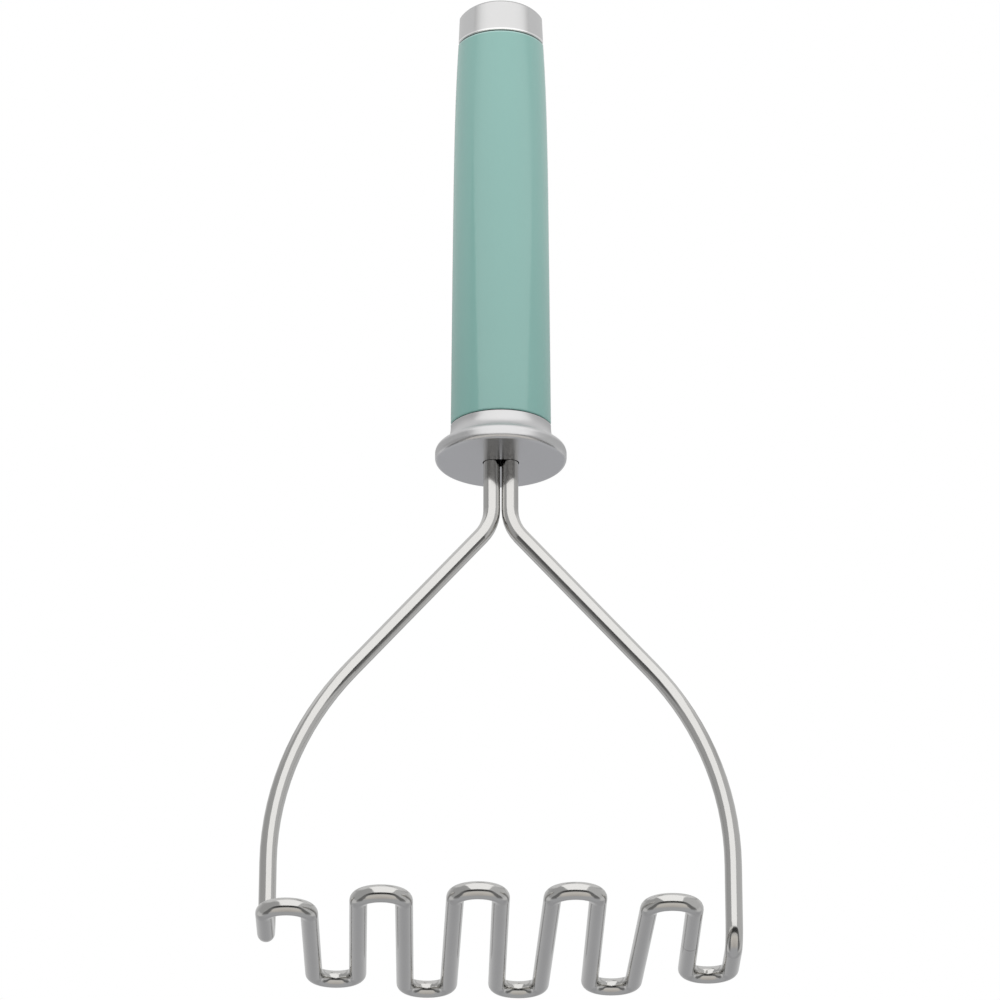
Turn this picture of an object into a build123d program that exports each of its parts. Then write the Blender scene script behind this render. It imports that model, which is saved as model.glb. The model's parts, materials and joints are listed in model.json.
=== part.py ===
"""Wire masher: a bent steel rod with a flat zigzag head, held in a hollow oval plastic handle.

Millimetres. +Z runs up the handle, the head lies in the XY plane, and the origin is at the
bottom centre of the head. But for small differences between its bends, the rod is the same
after half a turn about Z.
"""
from build123d import *
from math import pi, sqrt
import os

# ---- Driving dimensions -------------------------------------------------------------------

ROD_R = 2.15                     # radius of the round rod

# The head: a zigzag of strokes along Y, joined by half-round loops. For each loop, from left to
# right: its centre along X, and how far its line reaches from the X axis.
NEAR_LOOPS = [(-51.5, 26.6), (-28.5, 36.3), (-5.3, 38.6), (17.95, 38.2), (41.2, 30.0)]
FAR_LOOPS = [(-41.2, 30.0), (-18.65, 38.2), (4.3, 38.6), (27.55, 36.3), (51.5, 26.6)]
LOOP_HALF_SPACING = 5.42         # from a loop's centre to its two strokes
LOOP_BEND_R = 5.35

# The two arms, close to the XZ plane.
ARM_X = 57.25                    # the lower part of an arm
ARM_FOOT_Y = 2.0                 # each foot stands this far towards its first loop
ARM_FOOT_BEND_R = 5.3            # arm into head
ARM_ELBOW_Z = 51.6               # corner between the lower part and the diagonal
ARM_ELBOW_R = 76.5
SHANK_X = 2.3                    # the parallel shanks
SHOULDER_Z = 112.6               # corner between the diagonal and the shank
SHOULDER_R = 10.6
SHANK_TOP_Z = 203.0

# The collar: disc, flared oval neck, and a stub inside the handle.
DISC_R = 16.75
DISC_BOTTOM_Z = 129.85
DISC_THICKNESS = 4.05
DISC_TOP_ROUND = 1.6
DISC_BOTTOM_ROUND = 1.25
NECK_TOP_Z = 140.5
NECK_EDGE_ROUND = 0.25
# Height, half width, half depth and side radius of the neck's oval, from the top down.
NECK_STATIONS = [
    (NECK_TOP_Z, 12.8, 9.7, 2.5),
    (138.2, 12.9, 9.85, 2.7),
    (136.4, 13.4, 10.7, 3.6),
    (134.9, 14.2, 12.3, 6.0),
    (133.1, 15.3, 14.7, 12.0),
]
STUB_CLEARANCE = 0.15            # stub inside the shell
STUB_SHOULDER_Z = 146.0
STUB_NECK = (7.4, 5.2)           # half width and half depth below the stub's flange
STUB_FLANGE_Z = 149.0
STUB_FLANGE = (9.0, 6.3)
STUB_TOP_Z = 152.0
SLOT_CLEARANCE = 0.2             # slot round the two shanks

# The handle shell.
GASKET_T = 0.2
SHELL_BOTTOM_Z = NECK_TOP_Z + GASKET_T
SHELL_TOP_Z = 250.3
SHELL_WALL = 2.2
SHELL_BOTTOM_ROUND = 0.35
SHELL_TOP_ROUND = 0.5
GRIP_HALF_WIDTH = 12.8           # the grip's oval at its lower end
GRIP_HALF_DEPTH = 9.7
GRIP_SIDE_R = 2.5
WIDTH_TAPER = (0.68, 0.98)       # lost by the far end: the even part, and the part near the end
DEPTH_TAPER = (0.7, 1.0)
SIDE_R_TAPER = 1.0
END_TAPER_POWER = 6              # how late the second part of the taper sets in
STATION_SPACING = 12.0           # between the ovals that the grip is lofted through
LEAST_SIDE_R = 1.0               # an oval that is drawn in keeps at least this side radius

# The core that grips the shanks.
CORE_CLEARANCE = 0.15            # inside the shell
CORE_BOTTOM_Z = 146.1
CORE_TOP_Z = 216.0
PART_LINE_GAP = 0.05             # from each half to the plane between them
FIT_GAP = 0.1                    # round everything that lies in the core
FERRULE_BOTTOM_Z = 192.0
FERRULE_TOP_Z = 200.0
FERRULE_WALL = 1.6
CRIMP_GAP = 0.02
NUT_WIDTH = 7.0
NUT_T = 3.2
NUT_BOTTOM_Z = 208.0
NUT_CHAMFER = 0.5
NUT_THREAD_GAP = 0.03
CORE_SCREW_R = 1.2
CORE_SCREW_HEAD_R = 1.9
CORE_SCREW_HEAD_T = 1.3
CORE_SCREW_HEAD_SINK = 0.4       # below the core's surface, at the head's outer edge
CORE_SCREW_TIP_COVER = 1.4       # core left beyond the screw's tip
CORE_SCREW_RECESS = (2.6, 0.7, 0.85)   # the cross recess: length, width and depth
CORE_SCREW_X = 6.6
CORE_SCREW_ROWS_Z = [160.0, 184.0]

# The end: plug, screw, washer and cap.
PLUG_BOTTOM_Z = 238.0
PLUG_RIM_T = 2.4
PLUG_RIM_GAP = 0.45              # rim inside the cap
PLUG_RIM_SIDE_R = 1.2
PLUG_BOSS = (7.0, 5.2)           # half width and half depth inside the cap
PLUG_TOP_Z = 256.2
PLUG_CLEARANCE = 0.15
PLUG_HOLE_GAP = 0.2              # round the long screw
PLUG_POCKET_GAP = 0.4            # round its washer
SCREW_R = 2.0
SCREW_TIP_Z = 205.5
SCREW_TIP_CHAMFER = 0.4
SCREW_HEAD_R = 3.6
SCREW_HEAD_T = 2.4
SCREW_HEAD_ROUND = 0.8
SCREW_RECESS = (4.2, 1.0, 0.8)
WASHER_R = 4.4
WASHER_T = 0.8
WASHER_Z = 250.0
WASHER_BORE_GAP = 0.25
CAP_BOTTOM_Z = SHELL_TOP_Z + GASKET_T
CAP_TOP_Z = 260.6
CAP_EDGE = (10.72, 7.75, 2.5)    # half width, half depth and side radius at the cap's far end
CAP_WALL = 0.9
CAP_INNER_SIDE_R = 1.2
CAP_CROWN_R = 23.0
CAP_EDGE_ROUND = 0.6
CAP_LIP_ROUND = 0.3
GASKET_INSET = 0.3               # gaskets stay this far inside the surfaces that they seal
GASKET_WIDTH = 0.9

PAST = 1.0                       # how far a cutter, or one joined solid, runs past a face
KEEP_BLOCK = 60.0                # a block wider and deeper than the handle


# ---- Helpers ------------------------------------------------------------------------------

def long_radius(half_width, half_depth, side_r):
    """Radius of an oval's front and back arcs."""
    half_span = half_width - side_r
    return (half_span ** 2 + half_depth ** 2 - side_r ** 2) / (2 * (half_depth - side_r))


def oval(z, half_width, half_depth, side_r):
    """An oval face at height z: two large arcs, front and back, joined by two small side arcs."""
    long_r = long_radius(half_width, half_depth, side_r)
    x = long_r * (half_width - side_r) / (long_r - side_r)
    y = (long_r - half_depth) * side_r / (long_r - side_r)
    edges = [
        ThreePointArc((-x, -y, z), (0, -half_depth, z), (x, -y, z)),
        ThreePointArc((x, -y, z), (half_width, 0, z), (x, y, z)),
        ThreePointArc((x, y, z), (0, half_depth, z), (-x, y, z)),
        ThreePointArc((-x, y, z), (-half_width, 0, z), (-x, -y, z)),
    ]
    return Face(Wire(edges))


def drawn_in(size, inset):
    """Half width, half depth and side radius of an oval that lies inside another by inset."""
    half_width, half_depth, side_r = size
    return half_width - inset, half_depth - inset, max(side_r - inset, LEAST_SIDE_R)


def oval_loft(stations, inset=0.0):
    """A solid through ovals, each drawn in by inset. A station is a height and an oval's size."""
    return loft([oval(z, *drawn_in(size, inset)) for z, *size in stations])


def grip_size(z):
    """Half width, half depth and side radius of the grip at height z."""
    share = (z - SHELL_BOTTOM_Z) / (SHELL_TOP_Z - SHELL_BOTTOM_Z)
    late = share ** END_TAPER_POWER
    return (
        GRIP_HALF_WIDTH - WIDTH_TAPER[0] * share - WIDTH_TAPER[1] * late,
        GRIP_HALF_DEPTH - DEPTH_TAPER[0] * share - DEPTH_TAPER[1] * late,
        GRIP_SIDE_R - SIDE_R_TAPER * share,
    )


def inside_grip(bottom, top, inset):
    """A solid that fills the grip from bottom to top, drawn in by inset from its outer surface."""
    steps = max(1, round((top - bottom) / STATION_SPACING))
    heights = [bottom + (top - bottom) * i / steps for i in range(steps + 1)]
    return oval_loft([(z, *grip_size(z)) for z in heights], inset)


def stadium(half_length, half_width, bottom, top):
    """A bar with half-round ends, long along X, standing from bottom to top."""
    face = SlotOverall(2 * half_length, 2 * half_width)
    return Pos(0, 0, bottom) * extrude(face, top - bottom)


def upright(radius, bottom, top):
    """A cylinder on the Z axis from bottom to top."""
    return Pos(0, 0, (bottom + top) / 2) * Cylinder(radius, top - bottom)


def rod_pair(gap, bottom, top):
    """The two parallel shanks as cylinders, larger than the rod by gap."""
    bar = upright(ROD_R + gap, bottom, top)
    return Pos(-SHANK_X, 0, 0) * bar + Pos(SHANK_X, 0, 0) * bar


def along_y(radius, start, end, x, z):
    """A cylinder along Y from start to end, at a given X and height."""
    return Pos(x, (start + end) / 2, z) * Rot(90, 0, 0) * Cylinder(radius, end - start)


def cross_recess(length, width, depth):
    """Cutter for a cross recess in a face at z = 0 that looks up."""
    return Box(length, width, 2 * depth) + Box(width, length, 2 * depth)


def end_edges(solid, which):
    """The edges of a solid's lowest face (which = 0) or of its highest (which = -1)."""
    return solid.faces().sort_by(Axis.Z)[which].edges()


# ---- Rod ----------------------------------------------------------------------------------

def head_corners():
    """The zigzag's corners, from the left arm's foot to the right arm's foot, on the rod's line."""
    corners = []
    for (near_x, near_reach), (far_x, far_reach) in zip(NEAR_LOOPS, FAR_LOOPS):
        for x, y in ((near_x, -near_reach), (far_x, far_reach)):
            corners.append((x - LOOP_HALF_SPACING, y, ROD_R))
            corners.append((x + LOOP_HALF_SPACING, y, ROD_R))
    return corners


def make_masher_wire():
    """One rod: down the left shank and arm, through the zigzag, and up the right arm and shank."""
    left_side = [(-SHANK_X, 0, SHOULDER_Z), (-ARM_X, 0, ARM_ELBOW_Z), (-ARM_X, -ARM_FOOT_Y, ROD_R)]
    right_side = [(-x, -y, z) for x, y, z in reversed(left_side)]
    zigzag = head_corners()
    points = [(-SHANK_X, 0, SHANK_TOP_Z), *left_side, *zigzag, *right_side, (SHANK_X, 0, SHANK_TOP_Z)]
    side_radii = [SHOULDER_R, ARM_ELBOW_R, ARM_FOOT_BEND_R]
    radii = side_radii + [LOOP_BEND_R] * len(zigzag) + side_radii[::-1]
    line = FilletPolyline(*points, radius=radii)
    section = Pos(-SHANK_X, 0, SHANK_TOP_Z) * Circle(ROD_R)
    rod = sweep(section, path=line)
    expected = pi * ROD_R ** 2 * line.length
    print(f"rod length {line.length:.1f} mm, volume is {rod.volume / expected:.5f} of section times length")
    return rod


# ---- Collar and shell ---------------------------------------------------------------------

def make_collar():
    """Disc with a rounded rim, flared oval neck, and the waisted stub that the core grips."""
    disc = upright(DISC_R, DISC_BOTTOM_Z, DISC_BOTTOM_Z + DISC_THICKNESS)
    disc = fillet(end_edges(disc, -1), DISC_TOP_ROUND)
    disc = fillet(end_edges(disc, 0), DISC_BOTTOM_ROUND)
    neck = oval_loft(NECK_STATIONS)
    neck = fillet(end_edges(neck, -1), NECK_EDGE_ROUND)
    stub = inside_grip(NECK_TOP_Z - PAST, STUB_SHOULDER_Z, SHELL_WALL + STUB_CLEARANCE)
    waist = stadium(*STUB_NECK, STUB_SHOULDER_Z, STUB_FLANGE_Z)
    flange = stadium(*STUB_FLANGE, STUB_FLANGE_Z, STUB_TOP_Z)
    slot = stadium(
        SHANK_X + ROD_R + SLOT_CLEARANCE, ROD_R + SLOT_CLEARANCE, DISC_BOTTOM_Z - PAST, STUB_TOP_Z + PAST
    )
    return disc + neck + stub + waist + flange - slot


def make_handle_shell():
    """Hollow grip, open at both ends."""
    outer = inside_grip(SHELL_BOTTOM_Z, SHELL_TOP_Z, 0)
    outer = fillet(end_edges(outer, 0), SHELL_BOTTOM_ROUND)
    outer = fillet(end_edges(outer, -1), SHELL_TOP_ROUND)
    return outer - inside_grip(SHELL_BOTTOM_Z, SHELL_TOP_Z, SHELL_WALL)


def make_gasket(bottom):
    """Thin flat ring of the grip's oval at one end of the shell, drawn in a little from the outside."""
    size = grip_size(min(max(bottom, SHELL_BOTTOM_Z), SHELL_TOP_Z))
    outer = oval_loft([(z, *size) for z in (bottom, bottom + GASKET_T)], GASKET_INSET)
    inner_heights = (bottom - PAST, bottom + GASKET_T + PAST)
    inner = oval_loft([(z, *size) for z in inner_heights], GASKET_INSET + GASKET_WIDTH)
    return outer - inner


# ---- Core ---------------------------------------------------------------------------------

def core_cavities():
    """Everything that has to fit between the two core halves, with its clearance."""
    waist = stadium(STUB_NECK[0] + FIT_GAP, STUB_NECK[1] + FIT_GAP, CORE_BOTTOM_Z - PAST, STUB_FLANGE_Z)
    flange = stadium(
        STUB_FLANGE[0] + FIT_GAP, STUB_FLANGE[1] + FIT_GAP, STUB_FLANGE_Z - FIT_GAP, STUB_TOP_Z + FIT_GAP
    )
    rods = rod_pair(FIT_GAP, STUB_TOP_Z, SHANK_TOP_Z + FIT_GAP)
    ferrule = stadium(
        SHANK_X + ROD_R + FERRULE_WALL + FIT_GAP,
        ROD_R + FERRULE_WALL + FIT_GAP,
        FERRULE_BOTTOM_Z - FIT_GAP,
        FERRULE_TOP_Z + FIT_GAP,
    )
    nut_side = NUT_WIDTH + 2 * FIT_GAP
    nut_height = NUT_T + 2 * FIT_GAP
    nut = Pos(0, 0, NUT_BOTTOM_Z + NUT_T / 2) * Box(nut_side, nut_side, nut_height)
    screw = upright(SCREW_R + FIT_GAP, SCREW_TIP_Z - FIT_GAP, CORE_TOP_Z + PAST)
    return [waist, flange, rods, ferrule, nut, screw]


def core_screw_places():
    """Where each core screw's axis crosses the plane between the halves."""
    return [(side * CORE_SCREW_X, z) for z in CORE_SCREW_ROWS_Z for side in (-1, 1)]


def core_depth_at(x, z):
    """Half depth of the core at a given X and height."""
    half_width, half_depth, side_r = drawn_in(grip_size(z), SHELL_WALL + CORE_CLEARANCE)
    long_r = long_radius(half_width, half_depth, side_r)
    return sqrt(long_r ** 2 - x ** 2) - (long_r - half_depth)


def core_screw_ends(x, z):
    """Y of one core screw's head face and of its tip."""
    head_y = -core_depth_at(abs(x) + CORE_SCREW_HEAD_R, z) + CORE_SCREW_HEAD_SINK
    tip_y = core_depth_at(x, z) - CORE_SCREW_TIP_COVER
    return head_y, tip_y


def core_screw(x, z):
    """One screw along Y: its head sunk in the front half, its shank through into the back half."""
    head_y, tip_y = core_screw_ends(x, z)
    head = along_y(CORE_SCREW_HEAD_R, head_y, head_y + CORE_SCREW_HEAD_T, x, z)
    shank = along_y(CORE_SCREW_R, head_y, tip_y, x, z)
    recess = Pos(x, head_y, z) * Rot(90, 0, 0) * cross_recess(*CORE_SCREW_RECESS)
    return head + shank - recess


def core_screw_hole(x, z):
    """Clearance for one core screw and its head."""
    head_y, tip_y = core_screw_ends(x, z)
    head_end = head_y + CORE_SCREW_HEAD_T + FIT_GAP
    head = along_y(CORE_SCREW_HEAD_R + FIT_GAP, -GRIP_HALF_DEPTH, head_end, x, z)
    hole = along_y(CORE_SCREW_R + FIT_GAP / 2, head_y, tip_y + FIT_GAP, x, z)
    return head + hole


def make_core_half(side):
    """One half of the core: side -1 is the front, +1 the back."""
    body = inside_grip(CORE_BOTTOM_Z, CORE_TOP_Z, SHELL_WALL + CORE_CLEARANCE)
    for cavity in core_cavities():
        body = body - cavity
    for x, z in core_screw_places():
        body = body - core_screw_hole(x, z)
    middle = (CORE_TOP_Z + CORE_BOTTOM_Z) / 2
    keep = Box(KEEP_BLOCK, KEEP_BLOCK, CORE_TOP_Z - CORE_BOTTOM_Z + 2 * PAST)
    return body & Pos(0, side * (PART_LINE_GAP + KEEP_BLOCK / 2), middle) * keep


def make_core_screws():
    """The identical core screws, as separate solids in one group."""
    return Compound([core_screw(x, z).solids()[0] for x, z in core_screw_places()])


def make_rod_ferrule():
    """Oval sleeve crimped round the two shank ends."""
    half_length = SHANK_X + ROD_R
    sleeve = stadium(half_length + FERRULE_WALL, ROD_R + FERRULE_WALL, FERRULE_BOTTOM_Z, FERRULE_TOP_Z)
    bore = stadium(half_length + CRIMP_GAP, ROD_R + CRIMP_GAP, FERRULE_BOTTOM_Z - PAST, FERRULE_TOP_Z + PAST)
    return sleeve - bore


def make_core_nut():
    """Square nut."""
    block = Pos(0, 0, NUT_BOTTOM_Z + NUT_T / 2) * Box(NUT_WIDTH, NUT_WIDTH, NUT_T)
    block = chamfer(block.edges().filter_by(Axis.Z), NUT_CHAMFER)
    return block - upright(SCREW_R + NUT_THREAD_GAP, NUT_BOTTOM_Z - PAST, NUT_BOTTOM_Z + NUT_T + PAST)


# ---- End ----------------------------------------------------------------------------------

def make_end_plug():
    """Plug inside the shell's far end, with a rim on the shell and a boss inside the cap."""
    stem = inside_grip(PLUG_BOTTOM_Z, SHELL_TOP_Z, SHELL_WALL + PLUG_CLEARANCE)
    inset = CAP_WALL + PLUG_RIM_GAP
    low_width, low_depth, _ = grip_size(SHELL_TOP_Z)
    high_width, high_depth, _ = CAP_EDGE
    rim = loft([
        oval(SHELL_TOP_Z, low_width - inset, low_depth - inset, PLUG_RIM_SIDE_R),
        oval(SHELL_TOP_Z + PLUG_RIM_T, high_width - inset, high_depth - inset, PLUG_RIM_SIDE_R),
    ])
    boss = stadium(*PLUG_BOSS, SHELL_TOP_Z, PLUG_TOP_Z)
    pocket = upright(WASHER_R + PLUG_POCKET_GAP, WASHER_Z, PLUG_TOP_Z + PAST)
    hole = upright(SCREW_R + PLUG_HOLE_GAP, PLUG_BOTTOM_Z - PAST, PLUG_TOP_Z)
    return stem + rim + boss - pocket - hole


def make_plug_screw():
    """Long pan-head screw on the tool's axis, from the plug into the nut."""
    head_bottom = WASHER_Z + WASHER_T
    head = upright(SCREW_HEAD_R, head_bottom, head_bottom + SCREW_HEAD_T)
    head = fillet(end_edges(head, -1), SCREW_HEAD_ROUND)
    shank = upright(SCREW_R, SCREW_TIP_Z, head_bottom)
    shank = chamfer(end_edges(shank, 0), SCREW_TIP_CHAMFER)
    return head + shank - Pos(0, 0, head_bottom + SCREW_HEAD_T) * cross_recess(*SCREW_RECESS)


def make_plug_washer():
    """Plain washer under the long screw's head."""
    ring = upright(WASHER_R, WASHER_Z, WASHER_Z + WASHER_T)
    return ring - upright(SCREW_R + WASHER_BORE_GAP, WASHER_Z - PAST, WASHER_Z + WASHER_T + PAST)


def crowned(low, high, top, crown_r):
    """A loft between two ovals, each a height and a size, cut at its far end by a large sphere."""
    return loft([oval(*low), oval(*high)]) & Pos(0, 0, top - crown_r) * Sphere(crown_r)


def make_end_cap():
    """Pressed cap: a short tapered oval cup with a crowned end."""
    low = grip_size(SHELL_TOP_Z)
    outer = crowned((CAP_BOTTOM_Z, *low), (CAP_TOP_Z + PAST, *CAP_EDGE), CAP_TOP_Z, CAP_CROWN_R)
    outer = fillet(end_edges(outer, -1), CAP_EDGE_ROUND)
    outer = fillet(end_edges(outer, 0), CAP_LIP_ROUND)
    inner = crowned(
        (CAP_BOTTOM_Z - PAST, low[0] - CAP_WALL, low[1] - CAP_WALL, CAP_INNER_SIDE_R),
        (CAP_TOP_Z + PAST, CAP_EDGE[0] - CAP_WALL, CAP_EDGE[1] - CAP_WALL, CAP_INNER_SIDE_R),
        CAP_TOP_Z - CAP_WALL,
        CAP_CROWN_R - CAP_WALL,
    )
    return outer - inner


# ---- Build --------------------------------------------------------------------------------

def build():
    """Makes every piece and writes one STEP file for each."""
    pieces = {
        "masher_wire": make_masher_wire(),
        "collar": make_collar(),
        "collar_gasket": make_gasket(NECK_TOP_Z),
        "handle_shell": make_handle_shell(),
        "core_front": make_core_half(-1),
        "core_back": make_core_half(1),
        "core_screws": make_core_screws(),
        "rod_ferrule": make_rod_ferrule(),
        "core_nut": make_core_nut(),
        "end_plug": make_end_plug(),
        "plug_screw": make_plug_screw(),
        "plug_washer": make_plug_washer(),
        "cap_gasket": make_gasket(SHELL_TOP_Z),
        "end_cap": make_end_cap(),
    }
    os.makedirs("parts", exist_ok=True)
    for name, piece in pieces.items():
        export_step(piece, f"parts/{name}.step")


build()
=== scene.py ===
"""Looks of a wire masher: polished steel rod, satin collar, glossy aqua grip and satin end cap.

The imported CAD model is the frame. Everything here is in metres, in the CAD's own axes: +Z up the
handle, the mashing head in the plane z = 0, its strokes along Y.
"""
import bpy
import json
import math
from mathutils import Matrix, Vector


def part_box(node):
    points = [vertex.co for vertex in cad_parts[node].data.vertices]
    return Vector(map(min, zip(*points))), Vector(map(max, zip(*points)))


MM = 0.001

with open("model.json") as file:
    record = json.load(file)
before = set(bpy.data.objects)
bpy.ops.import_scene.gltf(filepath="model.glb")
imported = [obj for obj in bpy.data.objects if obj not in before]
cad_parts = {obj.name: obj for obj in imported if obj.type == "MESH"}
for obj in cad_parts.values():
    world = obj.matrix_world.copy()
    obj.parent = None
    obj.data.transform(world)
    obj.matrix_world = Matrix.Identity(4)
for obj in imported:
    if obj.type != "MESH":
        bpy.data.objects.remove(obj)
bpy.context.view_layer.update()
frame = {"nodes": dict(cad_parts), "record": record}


def grey(level):
    return (level, level, level)


WHITE = (1.0, 1.0, 1.0, 1.0)

# ---- Camera: looks up at the tool from in front of and below its head ----------------------

CAMERA_ELEVATION = math.radians(-23.2)
CAMERA_DISTANCE = 1.301          # from the aim point on the tool's axis
CAMERA_AIM_HEIGHT = 0.1196
CAMERA_LENS = 184.7              # on the default 36 mm sensor
CAMERA_SHIFT_X = -0.00085
CAMERA_CLIP_START = 0.01

# ---- Light sheet: curved, in front of the tool, leaning over its handle --------------------

PANEL_ROWS = [                   # (distance in front of the tool, height, left end, right end)
    (0.600, -0.030, -0.25, 0.43),
    (0.397, 0.068, -0.195, 0.315),
    (0.193, 0.165, -0.14, 0.20),
    (0.145, 0.235, -0.165, 0.21),
    (0.100, 0.290, -0.18, 0.24),
    (0.070, 0.345, -0.20, 0.28),
    (0.060, 0.400, -0.20, 0.30),
]
PANEL_COLOUR = (1.0, 0.995, 0.99, 1.0)
PANEL_STRENGTH = 1.28
PANEL_FADED_STRENGTH = 0.95      # at its upper left
PANEL_FADE_HEIGHTS = (0.28, 0.34)      # that fade comes in between these heights
PANEL_FADE_SIDES = (-0.19, -0.04)      # and is full left of the first x, gone right of the second
PANEL_DIM_FROM = 0.31            # above this height the sheet also dims towards its top edge
PANEL_TOP_SHARE = 0.55           # the share of its strength left there

# ---- Hoop: open ring of soft light round the sides and back --------------------------------

HOOP_RADIUS = 0.35
HOOP_BOTTOM = 0.26
HOOP_TOP = 1.0
HOOP_RIGHT_END = 78.0            # where it opens in front, in degrees from straight ahead
HOOP_LEFT_END = 72.0
HOOP_STEPS = 40                  # flat facets round it
HOOP_LOW_STRENGTH = 0.50         # it brightens upwards from its bottom edge
HOOP_STRENGTH = 0.80
HOOP_FULL_HEIGHT = 0.40
HOOP_FILL = 0.6                  # share of that strength with which it lights matt surfaces

# ---- Studio walls, by direction from the tool ----------------------------------------------
# Turns are degrees from straight ahead, to the right where they have a sign. Elevations are
# degrees above the horizon. A pair says where a change starts and where it ends.

WORLD_FILL = 1.3                 # the walls light matt surfaces this much more than they are mirrored
FRONT_FLOOR_ELEVATIONS = (-90.0, -30.0)
FRONT_FLOOR_STOPS = [            # (place between those elevations, colour)
    (0.0, (0.53, 0.50, 0.48)),
    (0.5, (0.68, 0.65, 0.61)),
    (0.8, (0.78, 0.75, 0.70)),
    (1.0, (0.77, 0.74, 0.70)),
]
REAR_FLOOR_TURNS = (60.0, 130.0)
REAR_FLOOR = (0.50, 0.505, 0.52)
WALL_FOOT_ELEVATIONS = (-45.0, -20.0)  # from the floor's colour to the walls'
SIDE_WALL_TURNS = (-60.0, 60.0)        # from the left wall's grey to the right wall's
LEFT_WALL = grey(0.46)
RIGHT_WALL = grey(0.62)
BACK_WALL_TURNS = (95.0, 150.0)
BACK_WALL_ELEVATIONS = (-30.0, 35.0)
BACK_WALL_LOW = (0.41, 0.412, 0.425)
BACK_WALL_HIGH = grey(0.72)
CEILING_ELEVATIONS = (40.0, 70.0)
CEILING = grey(0.80)
WINDOW_TURNS = (112.0, 142.0)    # a soft window on each side, in the wall behind the tool
WINDOW_ELEVATIONS = (-40.0, 6.0)
WINDOW_EDGE = 8.0
WINDOW = grey(0.70)
SEAM_ELEVATION = -17.0           # dark seam where the studio's floor begins, below the light sheet
SEAM_DROP = 23.0                 # how much lower it lies at the sides
SEAM_DROP_TURNS = (37.0, 90.0)
SEAM_EDGE = (8.625, 12.65)       # its soft edge, from its middle line
SEAM_END_TURNS = (112.0, 140.0)
SEAM_COLOUR_TURNS = (25.0, 65.0)
SEAM_IN_FRONT = grey(0.04)
SEAM_AT_SIDES = grey(0.19)

# ---- Floor ---------------------------------------------------------------------------------

FLOOR_SIZE = 8.0
FLOOR_PAINT = (0.86, 0.86, 0.86, 1.0)
FLOOR_GLOW = 0.30
FLOOR_FADE = (0.4, 2.2)          # between these distances it fades into the white backdrop

# ---- Finishes and marks on the pieces ------------------------------------------------------

STEEL_IOR = 2.5
BUMP_DEPTH = 0.02 * MM
NOISE_RANGE = (0.3, 0.7)         # noise seldom goes past these
STAIN_RANGE = (0.70, 0.80)       # only the highest noise leaves a stain on the rod
WELD_X = 46.4 * MM               # butt weld in the rod, on the last stroke
WELD_Y = 1.0 * MM
WELD_REACH = 3.0 * MM            # its line is drawn only this near to that stroke's axis
WELD_REACH_EDGE = 0.5 * MM
WELD_LINE = (0.15 * MM, 0.45 * MM)     # the line's soft edge, from its middle
WELD_HEIGHTS = (4.0 * MM, 5.0 * MM)    # it ends above the stroke
COLLAR_SATIN = (0.1 * MM, 0.9 * MM)    # above the collar's underside: from lapped, with a painted lighter tint, to satin
CAP_LIP_HIGHLIGHT = (0.35 * MM, 0.75 * MM)       # above the cap's lower edge: the painted highlight along its lip ends
HANDLE_LIP_HIGHLIGHT = (-0.7 * MM, -0.3 * MM)    # from the handle's top edge: the painted highlight along its top lip begins


# ---- Node helpers --------------------------------------------------------------------------

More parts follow.
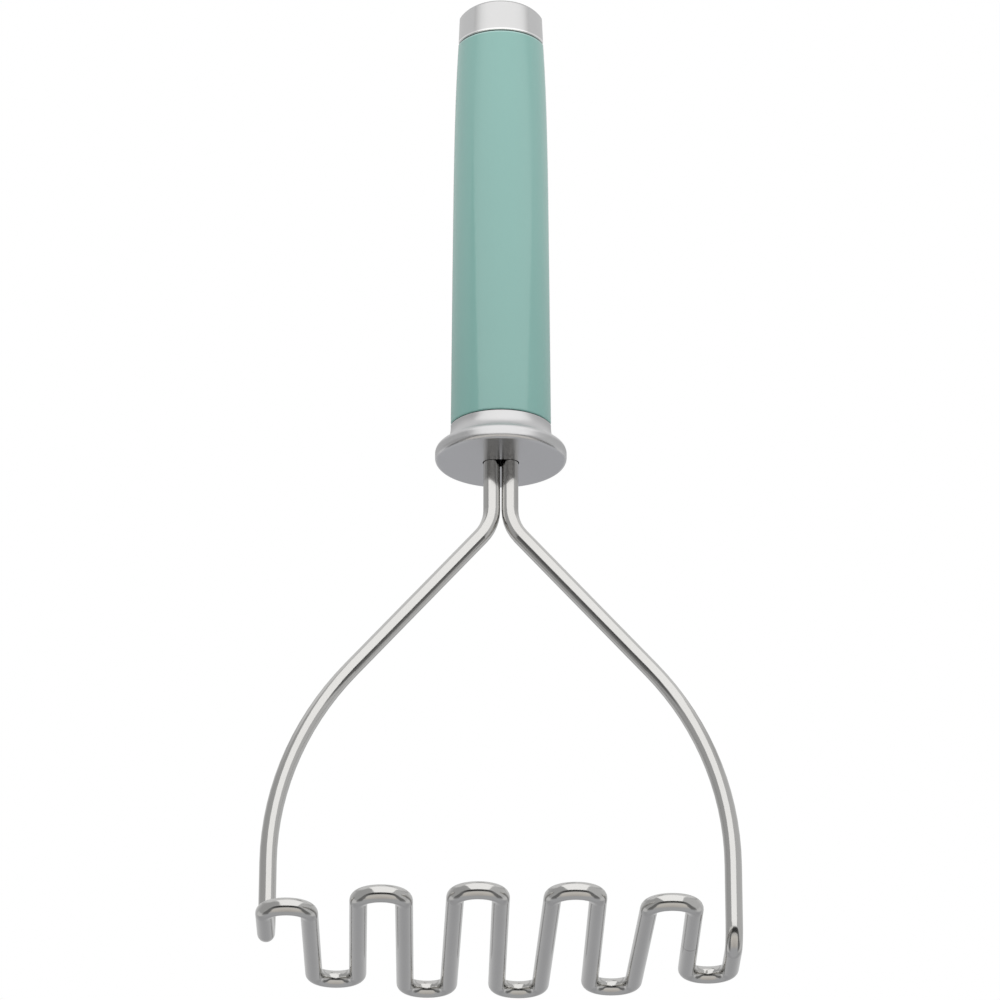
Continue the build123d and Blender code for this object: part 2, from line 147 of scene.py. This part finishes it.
class Tree:
    """A node tree with short calls for the nodes used here."""

    def __init__(self, owner):
        owner.use_nodes = True
        self.nodes = owner.node_tree.nodes
        self.links = owner.node_tree.links
        self.nodes.clear()

    def feed(self, socket, value):
        """Links value to the socket if it is another node's socket, or else sets it there."""
        if isinstance(value, bpy.types.NodeSocket):
            self.links.new(value, socket)
        else:
            socket.default_value = value

    def add(self, kind, inputs=None, **settings):
        """A node. inputs maps a socket's name or number to a value or to another node's socket."""
        node = self.nodes.new(kind)
        for key, value in settings.items():
            setattr(node, key, value)
        for key, value in (inputs or {}).items():
            self.feed(node.inputs[key], value)
        return node

    def math(self, operation, a, b=0.0):
        return self.add("ShaderNodeMath", {0: a, 1: b}, operation=operation).outputs[0]

    def product(self, first, *others):
        for other in others:
            first = self.math("MULTIPLY", first, other)
        return first

    def span(self, value, low, high, to_low=0.0, to_high=1.0, kind="SMOOTHSTEP"):
        """value mapped from low..high to to_low..to_high, held at the ends."""
        inputs = {"Value": value, "From Min": low, "From Max": high, "To Min": to_low, "To Max": to_high}
        return self.add("ShaderNodeMapRange", inputs, interpolation_type=kind).outputs[0]

    def fall(self, value, low, high):
        """1 below low, 0 above high."""
        return self.span(value, low, high, 1.0, 0.0)

    def band(self, value, low, high, edge):
        """1 between low and high, 0 outside them, with a soft edge of that width inside each."""
        return self.product(self.span(value, low, low + edge), self.fall(value, high - edge, high))

    def off(self, value, centre):
        """How far value is from centre, on either side."""
        return self.math("ABSOLUTE", self.math("SUBTRACT", value, centre))

    def ramp(self, value, stops):
        """A colour ramp. stops are (place, (r, g, b))."""
        node = self.add("ShaderNodeValToRGB", {0: value})
        elements = node.color_ramp.elements
        while len(elements) < len(stops):
            elements.new(0.5)
        for element, (place, colour) in zip(elements, stops):
            element.position = place
            element.color = (*colour, 1.0)
        return node.outputs[0]

    def noise(self, vector, scale, detail=2.0, roughness=0.5):
        inputs = {"Vector": vector, "Scale": scale, "Detail": detail, "Roughness": roughness}
        return self.add("ShaderNodeTexNoise", inputs).outputs["Fac"]

    def vary(self, noise, low, high):
        """A value that follows the noise from low to high."""
        return self.span(noise, *NOISE_RANGE, low, high)

    def place(self, stretch=(1.0, 1.0, 1.0)):
        """The point on the piece in the CAD's axes, stretched along each."""
        point = self.add("ShaderNodeTexCoord").outputs["Object"]
        return self.add("ShaderNodeMapping", {"Vector": point, "Scale": stretch}).outputs[0]

    def split(self, vector):
        """The vector's x, y and z."""
        return self.add("ShaderNodeSeparateXYZ", {0: vector}).outputs

    def bump(self, height, strength):
        inputs = {"Height": height, "Strength": strength, "Distance": BUMP_DEPTH}
        return self.add("ShaderNodeBump", inputs).outputs[0]

    def mix(self, share, low, high):
        """Mixes two colours, each an (r, g, b) or another node's socket."""
        node = self.add("ShaderNodeMix", {0: share}, data_type="RGBA")
        for number, colour in ((6, low), (7, high)):
            self.feed(node.inputs[number], (*colour, 1.0) if isinstance(colour, tuple) else colour)
        return node.outputs[2]

    def share_for_matt(self, share):
        """For a light: share where it lights a matt surface, 1 where it is mirrored."""
        matt = self.add("ShaderNodeLightPath").outputs["Is Diffuse Ray"]
        return self.span(matt, 0.0, 1.0, 1.0, share, kind="LINEAR")

    def blend(self, share, first, second):
        """Mixes two shaders."""
        inputs = {0: share, 1: first.outputs[0], 2: second.outputs[0]}
        return self.add("ShaderNodeMixShader", inputs)

    def surface(self, shader):
        self.add("ShaderNodeOutputMaterial", {"Surface": shader.outputs[0]})

    def principled(self, inputs):
        """Completes a material with a Principled shader."""
        self.surface(self.add("ShaderNodeBsdfPrincipled", inputs))


def new_material(name):
    """A material and its empty node tree."""
    material = bpy.data.materials.new(name)
    return material, Tree(material)


# ---- Materials -----------------------------------------------------------------------------

def steel_rod():
    """Polished stainless rod: a slightly uneven polish, faint stains, and the butt weld's fine line."""
    material, tree = new_material("polished_steel_rod")
    place = tree.place()
    x, y, z = tree.split(place)
    on_line = tree.fall(tree.off(y, WELD_Y), *WELD_LINE)
    on_stroke = tree.band(x, WELD_X - WELD_REACH, WELD_X + WELD_REACH, WELD_REACH_EDGE)
    weld = tree.product(on_line, on_stroke, tree.fall(z, *WELD_HEIGHTS))
    cloud = tree.noise(place, scale=60.0, detail=3.0)
    clean = tree.mix(cloud, (0.586, 0.580, 0.566), (0.633, 0.630, 0.618))
    blotch = tree.noise(place, scale=190.0, detail=4.0, roughness=0.7)
    stained = tree.mix(tree.span(blotch, *STAIN_RANGE, 0.0, 0.5), clean, (0.36, 0.30, 0.24))
    grain = tree.noise(place, scale=900.0, detail=3.0)
    wave = tree.noise(place, scale=220.0)
    tree.principled({
        "Metallic": 1.0,
        "IOR": STEEL_IOR,
        "Base Color": tree.mix(weld, stained, (0.40, 0.39, 0.38)),
        "Roughness": tree.vary(grain, 0.09, 0.15),
        "Normal": tree.bump(wave, strength=0.10),
    })
    return material


def collar_metal():
    """Satin chrome on a casting, with a smoother, lapped underside whose tint is painted lighter as
    painted light.
    """
    material, tree = new_material("satin_chrome_collar")
    place = tree.place()
    height = tree.split(place)[2]
    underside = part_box("collar")[0][2]
    satin = tree.span(height, underside + COLLAR_SATIN[0], underside + COLLAR_SATIN[1])
    cloud = tree.noise(place, scale=90.0, detail=3.0)
    satin_tint = tree.mix(cloud, (0.605, 0.605, 0.608), (0.635, 0.635, 0.640))
    # Painted light: the underside's tint is lighter than the satin's, to brighten a face that looks down;
    # its lower roughness is the lapped finish.
    underside_painted_light_tint = tree.mix(cloud, (0.705, 0.705, 0.710), (0.745, 0.745, 0.755))
    grain = tree.noise(place, scale=1200.0, detail=3.0)
    base = tree.span(satin, 0.0, 1.0, 0.21, 0.31)
    wave = tree.noise(place, scale=150.0)
    tree.principled({
        "Metallic": 1.0,
        "IOR": STEEL_IOR,
        "Base Color": tree.mix(satin, underside_painted_light_tint, satin_tint),
        "Roughness": tree.math("ADD", base, tree.vary(grain, 0.0, 0.04)),
        "Normal": tree.bump(wave, strength=0.06),
    })
    return material


def cap_metal():
    """Satin stainless pressing, with a faint vertical brushing and a painted highlight along its lower
    lip.
    """
    material, tree = new_material("satin_steel_cap")
    place = tree.place()
    height = tree.split(place)[2]
    lower_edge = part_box("end_cap")[0][2]
    # Painted highlight: the base colour turns lighter along the cap's lower lip.
    painted_lip_highlight = tree.fall(height, lower_edge + CAP_LIP_HIGHLIGHT[0], lower_edge + CAP_LIP_HIGHLIGHT[1])
    cloud = tree.noise(place, scale=120.0)
    tint = tree.mix(cloud, grey(0.590), (0.615, 0.615, 0.620))
    brushed = tree.noise(tree.place((1.0, 1.0, 0.06)), scale=5200.0, detail=3.0, roughness=0.6)
    tree.principled({
        "Metallic": 1.0,
        "IOR": STEEL_IOR,
        # The lip's lighter colour is a painted highlight, not wear.
        "Base Color": tree.mix(painted_lip_highlight, tint, grey(0.86)),
        "Roughness": tree.vary(brushed, 0.16, 0.24),
        "Normal": tree.bump(brushed, strength=0.05),
    })
    return material


def handle_plastic():
    """Glossy aqua ABS with a moulded surface's faint unevenness, and a painted highlight along its top
    lip.
    """
    material, tree = new_material("gloss_aqua_plastic")
    place = tree.place()
    height = tree.split(place)[2]
    top_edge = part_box("handle_shell")[1][2]
    # Painted highlight: the base colour turns paler along the handle's top lip.
    painted_lip_highlight = tree.span(height, top_edge + HANDLE_LIP_HIGHLIGHT[0], top_edge + HANDLE_LIP_HIGHLIGHT[1])
    cloud = tree.noise(place, scale=45.0, detail=3.0)
    tint = tree.mix(cloud, (0.210, 0.438, 0.398), (0.224, 0.458, 0.416))
    swirl = tree.noise(place, scale=260.0)
    moulded = tree.bump(swirl, strength=0.05)
    tree.principled({
        "Specular IOR Level": 0.5,
        "IOR": 1.5,
        "Coat Weight": 1.0,
        "Coat Roughness": 0.06,
        # The paler lip colour is a painted highlight.
        "Base Color": tree.mix(painted_lip_highlight, tint, (0.42, 0.66, 0.62)),
        "Roughness": tree.vary(swirl, 0.20, 0.26),
        "Normal": moulded,
        "Coat Normal": moulded,
    })
    return material


def core_plastic():
    """Black moulded nylon."""
    material, tree = new_material("black_nylon")
    spark = tree.noise(tree.place(), scale=3000.0, detail=4.0)
    tree.principled({
        "IOR": 1.52,
        "Specular IOR Level": 0.4,
        "Base Color": tree.mix(spark, (0.012, 0.012, 0.013), (0.022, 0.022, 0.024)),
        "Roughness": tree.vary(spark, 0.50, 0.68),
        "Normal": tree.bump(spark, strength=0.3),
    })
    return material


def fastener_steel():
    """Zinc-plated steel."""
    material, tree = new_material("zinc_plated_steel")
    cloud = tree.noise(tree.place(), scale=500.0, detail=4.0)
    tree.principled({
        "Metallic": 1.0,
        "IOR": STEEL_IOR,
        "Base Color": tree.mix(cloud, (0.46, 0.46, 0.44), (0.58, 0.57, 0.53)),
        "Roughness": tree.vary(cloud, 0.28, 0.45),
        "Normal": tree.bump(cloud, strength=0.1),
    })
    return material


def seal_rubber():
    """Dark silicone seal."""
    material, tree = new_material("dark_silicone")
    grain = tree.noise(tree.place(), scale=2500.0, detail=3.0)
    tree.principled({
        "IOR": 1.43,
        "Specular IOR Level": 0.35,
        "Base Color": tree.mix(grain, (0.035, 0.045, 0.042), (0.050, 0.062, 0.058)),
        "Roughness": tree.vary(grain, 0.55, 0.75),
    })
    return material


def dress_nodes():
    """Gives every CAD node the material of its slot in the record."""
    made = {
        "steel_rod": steel_rod(),
        "collar_metal": collar_metal(),
        "cap_metal": cap_metal(),
        "handle_plastic": handle_plastic(),
        "core_plastic": core_plastic(),
        "fastener_steel": fastener_steel(),
        "seal_rubber": seal_rubber(),
    }
    for subpart in frame["record"]["subparts"]:
        node = frame["nodes"][subpart["node"]]
        for slot in node.material_slots:
            slot.material = made[subpart["material_slot"]]


# ---- Studio --------------------------------------------------------------------------------

def make_camera():
    camera = bpy.data.objects.new("camera", bpy.data.cameras.new("camera"))
    bpy.context.scene.collection.objects.link(camera)
    camera.data.lens = CAMERA_LENS
    camera.data.shift_x = CAMERA_SHIFT_X
    camera.data.clip_start = CAMERA_CLIP_START
    back = Vector((0.0, -math.cos(CAMERA_ELEVATION), math.sin(CAMERA_ELEVATION)))
    camera.location = Vector((0.0, 0.0, CAMERA_AIM_HEIGHT)) + back * CAMERA_DISTANCE
    camera.rotation_euler = (-back).to_track_quat("-Z", "Y").to_euler()
    bpy.context.scene.camera = camera


def wall_colour(tree, elevation, across, turn):
    """The floor, the walls with their two windows, and the ceiling. turn is across without its sign."""
    down_front = tree.span(elevation, *FRONT_FLOOR_ELEVATIONS, kind="LINEAR")
    front_floor = tree.ramp(down_front, FRONT_FLOOR_STOPS)
    floor = tree.mix(tree.span(turn, *REAR_FLOOR_TURNS), front_floor, REAR_FLOOR)
    side_walls = tree.mix(tree.span(across, *SIDE_WALL_TURNS), LEFT_WALL, RIGHT_WALL)
    back_wall = tree.mix(tree.span(elevation, *BACK_WALL_ELEVATIONS), BACK_WALL_LOW, BACK_WALL_HIGH)
    walls = tree.mix(tree.span(turn, *BACK_WALL_TURNS), side_walls, back_wall)
    lower = tree.mix(tree.span(elevation, *WALL_FOOT_ELEVATIONS), floor, walls)
    in_window = tree.product(tree.band(turn, *WINDOW_TURNS, WINDOW_EDGE),
                             tree.band(elevation, *WINDOW_ELEVATIONS, WINDOW_EDGE))
    lit = tree.mix(in_window, lower, WINDOW)
    return tree.mix(tree.span(elevation, *CEILING_ELEVATIONS), lit, CEILING)


def with_seam(tree, colour, elevation, turn):
    """The colour with the dark seam drawn over it."""
    middle = tree.span(turn, *SEAM_DROP_TURNS, SEAM_ELEVATION, SEAM_ELEVATION - SEAM_DROP)
    seam = tree.product(tree.fall(tree.off(elevation, middle), *SEAM_EDGE),
                        tree.fall(turn, *SEAM_END_TURNS))
    seam_colour = tree.mix(tree.span(turn, *SEAM_COLOUR_TURNS), SEAM_IN_FRONT, SEAM_AT_SIDES)
    return tree.mix(seam, colour, seam_colour)


def make_world():
    """Pale studio: grey walls, bright overhead, a dark seam low in front. The camera sees white."""
    world = bpy.data.worlds.new("studio")
    bpy.context.scene.world = world
    tree = Tree(world)
    x, y, z = tree.split(tree.add("ShaderNodeTexCoord").outputs["Generated"])
    elevation = tree.math("DEGREES", tree.math("ARCSINE", z))
    across = tree.math("DEGREES", tree.math("ARCTAN2", x, tree.math("MULTIPLY", y, -1.0)))
    turn = tree.math("ABSOLUTE", across)
    colour = with_seam(tree, wall_colour(tree, elevation, across, turn), elevation, turn)
    strength = tree.share_for_matt(WORLD_FILL)
    studio = tree.add("ShaderNodeBackground", {"Color": colour, "Strength": strength})
    white = tree.add("ShaderNodeBackground", {"Color": WHITE, "Strength": 1.0})
    seen = tree.add("ShaderNodeLightPath").outputs["Is Camera Ray"]
    both = tree.blend(seen, studio, white)
    tree.add("ShaderNodeOutputWorld", {"Surface": both.outputs[0]})


def stage_piece(name, points, faces, material):
    """A stage piece from its points and faces."""
    mesh = bpy.data.meshes.new(name)
    mesh.from_pydata(points, [], faces)
    mesh.materials.append(material)
    piece = bpy.data.objects.new(name, mesh)
    bpy.context.scene.collection.objects.link(piece)
    return piece


def make_panel(name, rows):
    """One stretch of the light sheet. It lights the tool and isn't seen."""
    points = []
    for distance, height, left, right in rows:
        points += [(left, -distance, height), (right, -distance, height)]
    faces = [(2 * n, 2 * n + 1, 2 * n + 3, 2 * n + 2) for n in range(len(rows) - 1)]
    material, tree = new_material(name)
    x, _, z = tree.split(tree.place())
    faded = tree.product(tree.span(z, *PANEL_FADE_HEIGHTS), tree.fall(x, *PANEL_FADE_SIDES))
    sheet = tree.span(faded, 0.0, 1.0, PANEL_STRENGTH, PANEL_FADED_STRENGTH, kind="LINEAR")
    top_edge = PANEL_ROWS[-1][1]
    dim = tree.span(z, PANEL_DIM_FROM, top_edge, 1.0, PANEL_TOP_SHARE)
    glow = {"Color": PANEL_COLOUR, "Strength": tree.product(sheet, dim)}
    tree.surface(tree.add("ShaderNodeEmission", glow))
    panel = stage_piece(name, points, faces, material)
    panel.visible_camera = False
    return panel


def make_panels():
    """The light sheet. Its lowest stretch is only mirrored, so that it draws no edge on the floor."""
    make_panel("light_panel", PANEL_ROWS[1:])
    low = make_panel("light_panel_low", PANEL_ROWS[:2])
    low.visible_diffuse = False
    low.visible_shadow = False


def make_hoop():
    """The hoop of soft light, from the height that the collar's sides mirror."""
    first = math.radians(HOOP_RIGHT_END)
    last = math.radians(360.0 - HOOP_LEFT_END)
    turns = [first + (last - first) * step / HOOP_STEPS for step in range(HOOP_STEPS + 1)]
    points = []
    for height in (HOOP_BOTTOM, HOOP_TOP):
        points += [(HOOP_RADIUS * math.sin(turn), -HOOP_RADIUS * math.cos(turn), height) for turn in turns]
    above = len(turns)
    faces = [(step, step + 1, step + 1 + above, step + above) for step in range(HOOP_STEPS)]
    material, tree = new_material("light_hoop")
    z = tree.split(tree.place())[2]
    mirrored = tree.span(z, HOOP_BOTTOM, HOOP_FULL_HEIGHT, HOOP_LOW_STRENGTH, HOOP_STRENGTH)
    glow = {"Color": WHITE, "Strength": tree.product(mirrored, tree.share_for_matt(HOOP_FILL))}
    tree.surface(tree.add("ShaderNodeEmission", glow))
    hoop = stage_piece("light_hoop", points, faces, material)
    hoop.visible_camera = False


def make_floor():
    """Pale floor that the tool stands on. It is one-sided, so that it doesn't hide the tool from below."""
    material, tree = new_material("pale_floor")
    paint = tree.add("ShaderNodeBsdfDiffuse", {"Color": FLOOR_PAINT})
    lift = tree.add("ShaderNodeEmission", {"Color": WHITE, "Strength": FLOOR_GLOW})
    lit = tree.add("ShaderNodeAddShader", {0: paint.outputs[0], 1: lift.outputs[0]})
    white = tree.add("ShaderNodeEmission", {"Color": WHITE, "Strength": 1.0})
    away = tree.add("ShaderNodeVectorMath", {0: tree.place()}, operation="LENGTH").outputs["Value"]
    faded = tree.blend(tree.span(away, *FLOOR_FADE), lit, white)
    under = tree.add("ShaderNodeNewGeometry").outputs["Backfacing"]
    tree.surface(tree.blend(under, faded, tree.add("ShaderNodeBsdfTransparent")))
    half = FLOOR_SIZE / 2
    corners = [(-half, -half, 0.0), (half, -half, 0.0), (half, half, 0.0), (-half, half, 0.0)]
    floor = stage_piece("floor", corners, [(0, 1, 2, 3)], material)
    floor.visible_diffuse = False
    floor.visible_glossy = False
    floor.visible_shadow = False


bpy.context.scene.view_settings.view_transform = "Standard"
make_camera()
make_world()
make_panels()
make_hoop()
make_floor()
dress_nodes()
